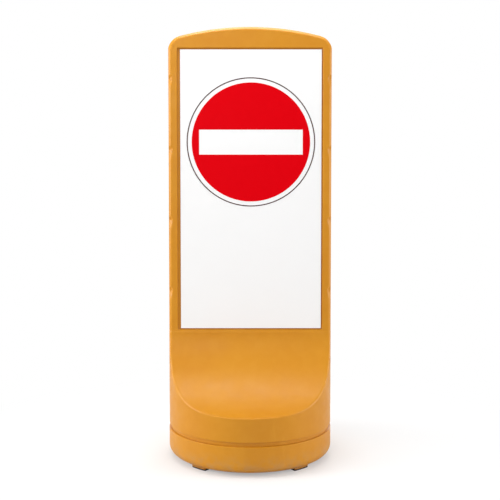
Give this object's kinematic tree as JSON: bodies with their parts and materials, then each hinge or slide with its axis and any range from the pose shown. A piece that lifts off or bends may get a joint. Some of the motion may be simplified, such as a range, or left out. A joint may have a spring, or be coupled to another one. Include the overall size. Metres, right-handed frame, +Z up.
{
  "type": "freestanding sign",
  "caption": "Two-sided floor-standing sign: hollow moulded upright on a round ballast base, boards with a no-entry figure, screw filler cap and drain plug.",
  "frame": {"origin": "on the floor under the middle of the round base", "axes": "+Z up; -Y out of the front board, +Y out of the back, +X to the right seen from the front"},
  "size_m": [0.4582, 0.4582, 1.196],
  "materials": {
    "body_plastic": "satin moulded polyethylene",
    "board_white": "satin white sheet",
    "film_red": "satin film",
    "film_dark": "satin film",
    "tape_foam": "matte foam",
    "pad_rubber": "matte",
    "seal_rubber": "matte",
    "cap_plastic": "satin moulded",
    "bush_brass": "machined"
  },
  "bodies": {
    "stand": {"body_shell": "body_plastic", "front_board": "board_white", "rear_board": "board_white", "front_disc_film": "film_red", "rear_disc_film": "film_red", "front_ring_film": "film_dark", "rear_ring_film": "film_dark", "front_tape_left": "tape_foam", "front_tape_right": "tape_foam", "front_tape_top": "tape_foam", "front_tape_bottom": "tape_foam", "rear_tape_left": "tape_foam", "rear_tape_right": "tape_foam", "rear_tape_top": "tape_foam", "rear_tape_bottom": "tape_foam", "foot_pad_front_left": "pad_rubber", "foot_pad_front_right": "pad_rubber", "foot_pad_rear_left": "pad_rubber", "foot_pad_rear_right": "pad_rubber", "filler_neck": "body_plastic", "drain_bush": "bush_brass"},
    "filler_gasket": {"filler_gasket": "seal_rubber"},
    "filler_cap": {"filler_cap": "cap_plastic"},
    "drain_seal": {"drain_seal": "seal_rubber"},
    "drain_plug": {"drain_plug": "cap_plastic"}
  },
  "joints": [
    {"name": "filler_cap_rise", "type": "slide", "parent": "stand", "child": "filler_gasket", "axis": [0, 0, 1], "range_m": [0, 0.012]},
    {"name": "filler_cap_turn", "type": "hinge", "parent": "filler_gasket", "child": "filler_cap", "pos_m": [0, 0.178, 0.18], "axis": [0, 0, 1], "range_deg": [0, 1080]},
    {"name": "drain_plug_rise", "type": "slide", "parent": "stand", "child": "drain_seal", "axis": [0, 1, 0], "range_m": [0, 0.008]},
    {"name": "drain_plug_turn", "type": "hinge", "parent": "drain_seal", "child": "drain_plug", "pos_m": [0, 0.21, 0.056], "axis": [0, 1, 0], "range_deg": [0, 1440]}
  ],
  "couplings": [
    {"joint": "filler_cap_rise", "follows": "filler_cap_turn", "m_per_rad": 0.00063662},
    {"joint": "drain_plug_rise", "follows": "drain_plug_turn", "m_per_rad": 0.00031831}
  ]
}
